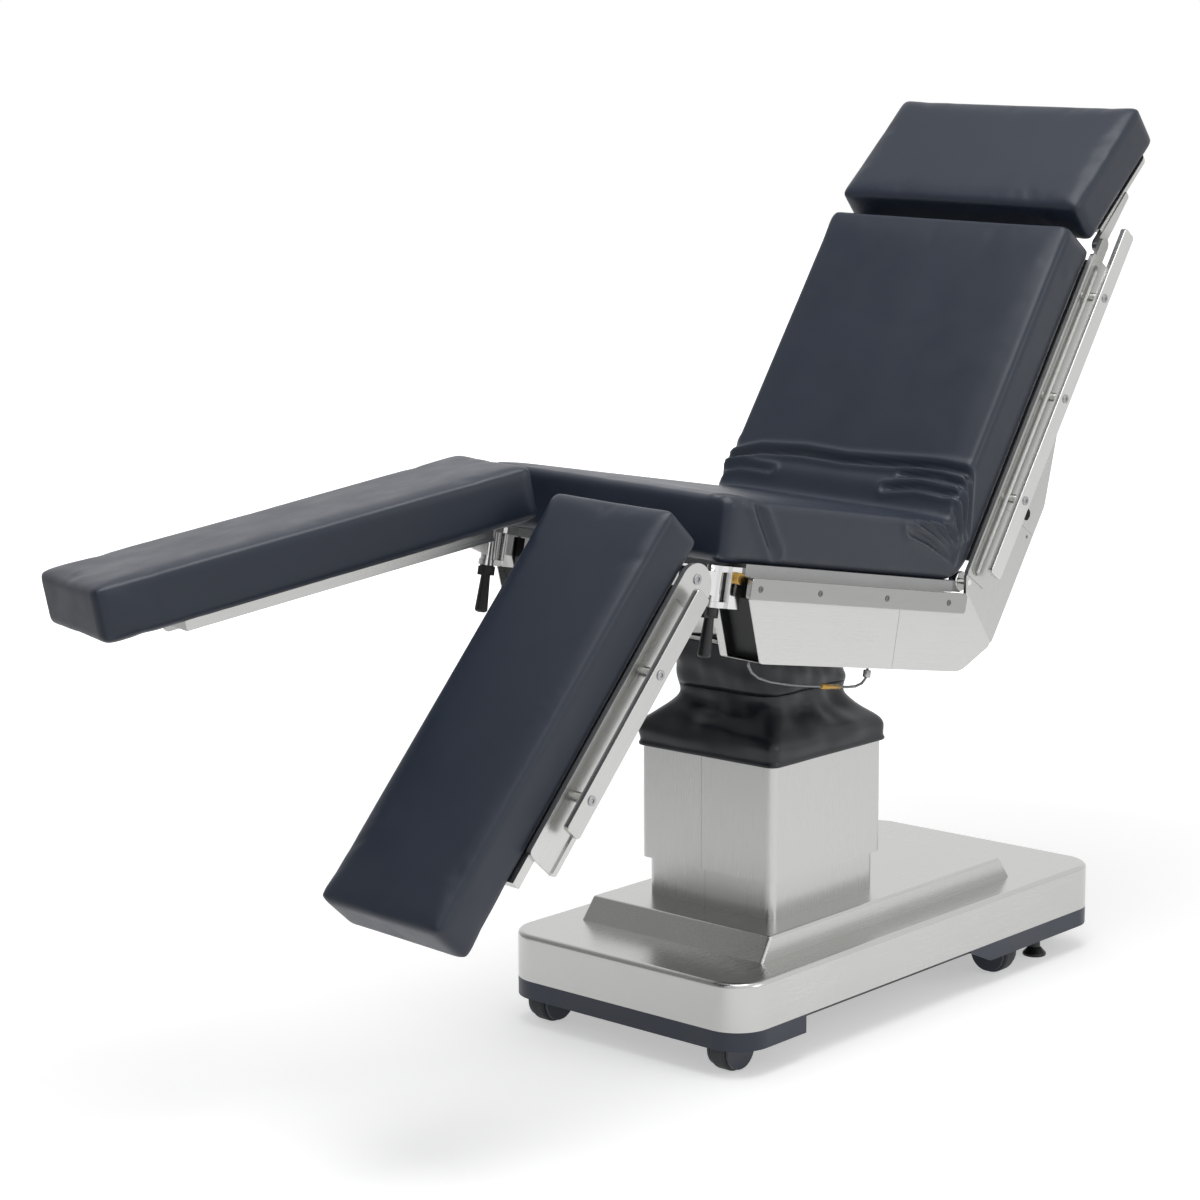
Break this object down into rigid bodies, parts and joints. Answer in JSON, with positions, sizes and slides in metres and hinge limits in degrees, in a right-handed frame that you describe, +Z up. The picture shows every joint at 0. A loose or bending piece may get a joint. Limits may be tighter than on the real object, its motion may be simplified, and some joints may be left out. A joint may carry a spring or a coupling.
{
  "type": "operating table",
  "caption": "Operating table with padded leg, seat, back and head sections on a telescopic column, a wheeled box base and side accessory rails",
  "frame": {"origin": "on the floor plane, under the centre of the lifting column", "axes": "+X points to the head end along the base, +Y to the patient's right, +Z up; the table stands as in the picture"},
  "size_m": [1.8761, 0.7794, 1.4789],
  "materials": {
    "stainless": "brushed stainless sheet",
    "stainless_frame": "satin stainless",
    "rail_steel": "fine brushed flat bar",
    "grey_plate": "light grey enamel on steel",
    "dark_polished": "dark polished sheet",
    "chassis_steel": "black enamel",
    "cast_grey": "grey painted casting",
    "machined_steel": "machined and oiled",
    "chrome": "polished",
    "brass": "knurled",
    "navy_plastic": "moulded, satin",
    "black_plastic": "moulded, satin",
    "caster_tyre": "solid non-marking tyre",
    "tyre": "moulded rubber",
    "boot_vinyl": "soft vinyl bellows cover",
    "pad_vinyl": "navy antistatic vinyl over foam"
  },
  "bodies": {
    "base": {"base_chassis": "chassis_steel", "base_cover": "stainless", "bumper_foot_end": "navy_plastic", "bumper_head_end": "navy_plastic", "plinth_cover": "stainless", "column_lower_cover": "stainless", "column_guide": "machined_steel", "lift_barrel": "machined_steel"},
    "brake": {"brake_feet": "tyre"},
    "lift": {"column_upper_cover": "stainless", "column_slide": "machined_steel", "lift_rod": "chrome", "column_head": "cast_grey", "boot": "boot_vinyl"},
    "cross": {"tilt_cross": "machined_steel"},
    "seat": {"seat_frame": "stainless_frame", "seat_tray": "dark_polished", "seat_pad": "pad_vinyl", "seat_side_panel_left": "stainless_frame", "seat_side_panel_right": "stainless_frame", "seat_rail_left": "rail_steel", "seat_rail_right": "rail_steel", "leg_bracket_left": "chrome", "leg_bracket_right": "chrome", "seat_end_caps": "black_plastic", "thumb_screws": "brass", "back_hinge_pins": "chrome"},
    "back": {"back_side_left": "stainless_frame", "back_side_right": "stainless_frame", "back_rail_left": "rail_steel", "back_rail_right": "rail_steel", "back_rail_spacers": "black_plastic", "back_panel": "grey_plate", "back_cross_tubes": "grey_plate", "back_pad": "pad_vinyl"},
    "head": {"head_frame": "grey_plate", "head_pad": "pad_vinyl"},
    "fork_foot_left": {"caster_fork_foot_left": "navy_plastic"},
    "wheel_foot_left": {"caster_wheel_foot_left": "caster_tyre"},
    "fork_foot_right": {"caster_fork_foot_right": "navy_plastic"},
    "wheel_foot_right": {"caster_wheel_foot_right": "caster_tyre"},
    "fork_head_left": {"caster_fork_head_left": "navy_plastic"},
    "wheel_head_left": {"caster_wheel_head_left": "caster_tyre"},
    "fork_head_right": {"caster_fork_head_right": "navy_plastic"},
    "wheel_head_right": {"caster_wheel_head_right": "caster_tyre"},
    "spread_left": {"leg_knuckle_left": "chrome"},
    "leg_left": {"leg_side_left": "stainless_frame", "leg_panel_left": "grey_plate", "leg_rail_left": "rail_steel", "leg_rail_spacers_left": "black_plastic", "leg_pad_left": "pad_vinyl"},
    "lever_left": {"leg_lock_lever_left": "black_plastic"},
    "spread_right": {"leg_knuckle_right": "chrome"},
    "leg_right": {"leg_side_right": "stainless_frame", "leg_panel_right": "grey_plate", "leg_rail_right": "rail_steel", "leg_rail_spacers_right": "black_plastic", "leg_pad_right": "pad_vinyl"},
    "lever_right": {"leg_lock_lever_right": "black_plastic"}
  },
  "joints": [
    {"name": "brake_lock", "type": "slide", "parent": "base", "child": "brake", "axis": [0, 0, 1], "range_m": [0, 0.012]},
    {"name": "caster_swivel_foot_left", "type": "hinge", "parent": "base", "child": "fork_foot_left", "pos_m": [-0.294, -0.188, 0.09], "axis": [0, 0, 1], "continuous": true},
    {"name": "caster_roll_foot_left", "type": "hinge", "parent": "fork_foot_left", "child": "wheel_foot_left", "pos_m": [-0.31, -0.188, 0.037], "axis": [0, 1, 0], "continuous": true},
    {"name": "caster_swivel_foot_right", "type": "hinge", "parent": "base", "child": "fork_foot_right", "pos_m": [-0.294, 0.188, 0.09], "axis": [0, 0, 1], "continuous": true},
    {"name": "caster_roll_foot_right", "type": "hinge", "parent": "fork_foot_right", "child": "wheel_foot_right", "pos_m": [-0.31, 0.188, 0.037], "axis": [0, 1, 0], "continuous": true},
    {"name": "caster_swivel_head_left", "type": "hinge", "parent": "base", "child": "fork_head_left", "pos_m": [0.384, -0.188, 0.09], "axis": [0, 0, 1], "continuous": true},
    {"name": "caster_roll_head_left", "type": "hinge", "parent": "fork_head_left", "child": "wheel_head_left", "pos_m": [0.384, -0.204, 0.037], "axis": [-1, 0, 0], "continuous": true},
    {"name": "caster_swivel_head_right", "type": "hinge", "parent": "base", "child": "fork_head_right", "pos_m": [0.384, 0.188, 0.09], "axis": [0, 0, 1], "continuous": true},
    {"name": "caster_roll_head_right", "type": "hinge", "parent": "fork_head_right", "child": "wheel_head_right", "pos_m": [0.384, 0.172, 0.037], "axis": [-1, 0, 0], "continuous": true},
    {"name": "column_lift", "type": "slide", "parent": "base", "child": "lift", "axis": [0, 0, 1], "range_m": [-0.055, 0.145]},
    {"name": "trendelenburg", "type": "hinge", "parent": "lift", "child": "cross", "pos_m": [0, 0, 0.6595], "axis": [0, 1, 0], "range_deg": [-34.66, 15.34], "deforming": ["boot"]},
    {"name": "lateral_tilt", "type": "hinge", "parent": "cross", "child": "seat", "pos_m": [0, 0, 0.6595], "axis": [0.9858, 0, -0.1678], "range_deg": [-22.14, 17.86]},
    {"name": "back_raise", "type": "hinge", "parent": "seat", "child": "back", "pos_m": [0.21389, -0.00329, 0.7123], "axis": [-0.0063, -0.9993, -0.0368], "range_deg": [-66.8, 3.2]},
    {"name": "head_recline", "type": "hinge", "parent": "back", "child": "head", "pos_m": [0.56089, -0.02504, 1.24367], "axis": [0.0063, 0.9993, 0.0368], "range_deg": [-14.4, 60]},
    {"name": "leg_spread_left", "type": "hinge", "parent": "seat", "child": "spread_left", "pos_m": [-0.40078, -0.23145, 0.79], "axis": [0.1677, -0.0373, 0.9851], "range_deg": [0, 60]},
    {"name": "leg_drop_left", "type": "hinge", "parent": "spread_left", "child": "leg_left", "pos_m": [-0.45567, -0.23131, 0.79529], "axis": [-0.0063, -0.9993, -0.0368], "range_deg": [-58.2, 31.8]},
    {"name": "leg_lock_left", "type": "hinge", "parent": "seat", "child": "lever_left", "pos_m": [-0.40078, -0.23145, 0.79], "axis": [0.1677, -0.0373, 0.9851], "range_deg": [0, 90]},
    {"name": "leg_spread_right", "type": "hinge", "parent": "seat", "child": "spread_right", "pos_m": [-0.39792, 0.22623, 0.80686], "axis": [-0.1677, 0.0373, -0.9851], "range_deg": [-18.4, 41.6]},
    {"name": "leg_drop_right", "type": "hinge", "parent": "spread_right", "child": "leg_right", "pos_m": [-0.44993, 0.24372, 0.81232], "axis": [-0.3171, -0.9482, 0.018], "range_deg": [-20.4, 69.6]},
    {"name": "leg_lock_right", "type": "hinge", "parent": "seat", "child": "lever_right", "pos_m": [-0.39792, 0.22623, 0.80686], "axis": [-0.1677, 0.0373, -0.9851], "range_deg": [0, 90]}
  ]
}
